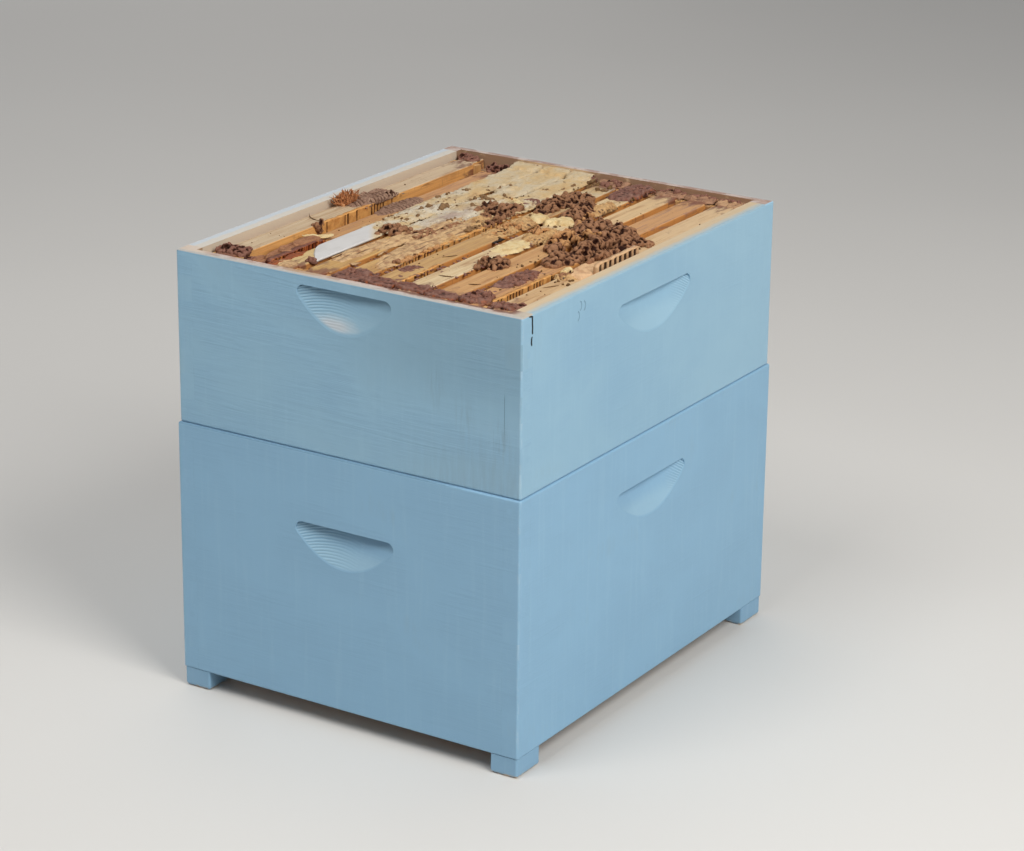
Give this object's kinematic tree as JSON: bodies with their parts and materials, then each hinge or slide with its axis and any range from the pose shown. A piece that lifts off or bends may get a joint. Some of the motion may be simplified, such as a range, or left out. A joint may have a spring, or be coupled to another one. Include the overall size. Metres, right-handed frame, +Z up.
{
  "type": "wooden beehive",
  "caption": "Painted wooden beehive: a brood body on corner feet with a shallower super on top, open to show lift-out frames with comb, crusted with wax and propolis.",
  "frame": {"origin": "on the ground, under the middle of the hive", "axes": "+Z up, frames and long sides along Y, -Y is the short front wall without an entrance, +X is the right side wall"},
  "size_m": [0.413, 0.505, 0.4755],
  "materials": {
    "blue_paint": "matt pale blue paint on softwood, grain showing",
    "bar_wood": "bare softwood stained amber by propolis",
    "bare_wood": "bare softwood",
    "honey_wax": "drawn wax comb",
    "brood_wax": "old dark brood comb",
    "nail_steel": "round wire nails, heads painted over"
  },
  "bodies": {
    "hive_body": {"body_front_wall": "blue_paint", "body_back_wall": "blue_paint", "body_left_wall": "blue_paint", "body_right_wall": "blue_paint", "body_wall_nails": "nail_steel", "floor_panel": "bare_wood", "floor_nails": "nail_steel", "foot_front_left": "blue_paint", "foot_front_right": "blue_paint", "foot_back_left": "blue_paint", "foot_back_right": "blue_paint", "foot_nails": "nail_steel", "brood_frame_01": "bare_wood", "brood_frame_02": "bare_wood", "brood_frame_03": "bare_wood", "brood_frame_04": "bare_wood", "brood_frame_05": "bare_wood", "brood_frame_06": "bare_wood", "brood_frame_07": "bare_wood", "brood_frame_08": "bare_wood", "brood_frame_09": "bare_wood", "brood_frame_10": "bare_wood", "brood_combs": "brood_wax"},
    "super": {"super_front_wall": "blue_paint", "super_back_wall": "blue_paint", "super_left_wall": "blue_paint", "super_right_wall": "blue_paint", "super_wall_nails": "nail_steel"},
    "frame_01": {"super_top_bar_01": "bar_wood", "super_frame_01": "bare_wood", "super_comb_01": "honey_wax"},
    "frame_02": {"super_top_bar_02": "bar_wood", "super_frame_02": "bare_wood", "super_comb_02": "honey_wax"},
    "frame_03": {"super_top_bar_03": "bar_wood", "super_frame_03": "bare_wood", "super_comb_03": "honey_wax"},
    "frame_04": {"super_top_bar_04": "bar_wood", "super_frame_04": "bare_wood", "super_comb_04": "honey_wax"},
    "frame_05": {"super_top_bar_05": "bar_wood", "super_frame_05": "bare_wood", "super_comb_05": "honey_wax"},
    "frame_06": {"super_top_bar_06": "bar_wood", "super_frame_06": "bare_wood", "super_comb_06": "honey_wax"},
    "frame_07": {"super_top_bar_07": "bar_wood", "super_frame_07": "bare_wood", "super_comb_07": "honey_wax"},
    "frame_08": {"super_top_bar_08": "bar_wood", "super_frame_08": "bare_wood", "super_comb_08": "honey_wax"},
    "frame_09": {"super_top_bar_09": "bar_wood", "super_frame_09": "bare_wood", "super_comb_09": "honey_wax"},
    "frame_10": {"super_top_bar_10": "bar_wood", "super_frame_10": "bare_wood", "super_comb_10": "honey_wax"}
  },
  "joints": [
    {"name": "super_lift", "type": "slide", "parent": "hive_body", "child": "super", "axis": [0, 0, 1], "range_m": [0, 0.2]},
    {"name": "frame_01_lift", "type": "slide", "parent": "super", "child": "frame_01", "axis": [0, 0, 1], "range_m": [0, 0.2]},
    {"name": "frame_02_lift", "type": "slide", "parent": "super", "child": "frame_02", "axis": [0, 0, 1], "range_m": [0, 0.2]},
    {"name": "frame_03_lift", "type": "slide", "parent": "super", "child": "frame_03", "axis": [0, 0, 1], "range_m": [0, 0.2]},
    {"name": "frame_04_lift", "type": "slide", "parent": "super", "child": "frame_04", "axis": [0, 0, 1], "range_m": [0, 0.2]},
    {"name": "frame_05_lift", "type": "slide", "parent": "super", "child": "frame_05", "axis": [0, 0, 1], "range_m": [0, 0.2]},
    {"name": "frame_06_lift", "type": "slide", "parent": "super", "child": "frame_06", "axis": [0, 0, 1], "range_m": [0, 0.2]},
    {"name": "frame_07_lift", "type": "slide", "parent": "super", "child": "frame_07", "axis": [0, 0, 1], "range_m": [0, 0.2]},
    {"name": "frame_08_lift", "type": "slide", "parent": "super", "child": "frame_08", "axis": [0, 0, 1], "range_m": [0, 0.2]},
    {"name": "frame_09_lift", "type": "slide", "parent": "super", "child": "frame_09", "axis": [0, 0, 1], "range_m": [0, 0.2]},
    {"name": "frame_10_lift", "type": "slide", "parent": "super", "child": "frame_10", "axis": [0, 0, 1], "range_m": [0, 0.2]}
  ]
}
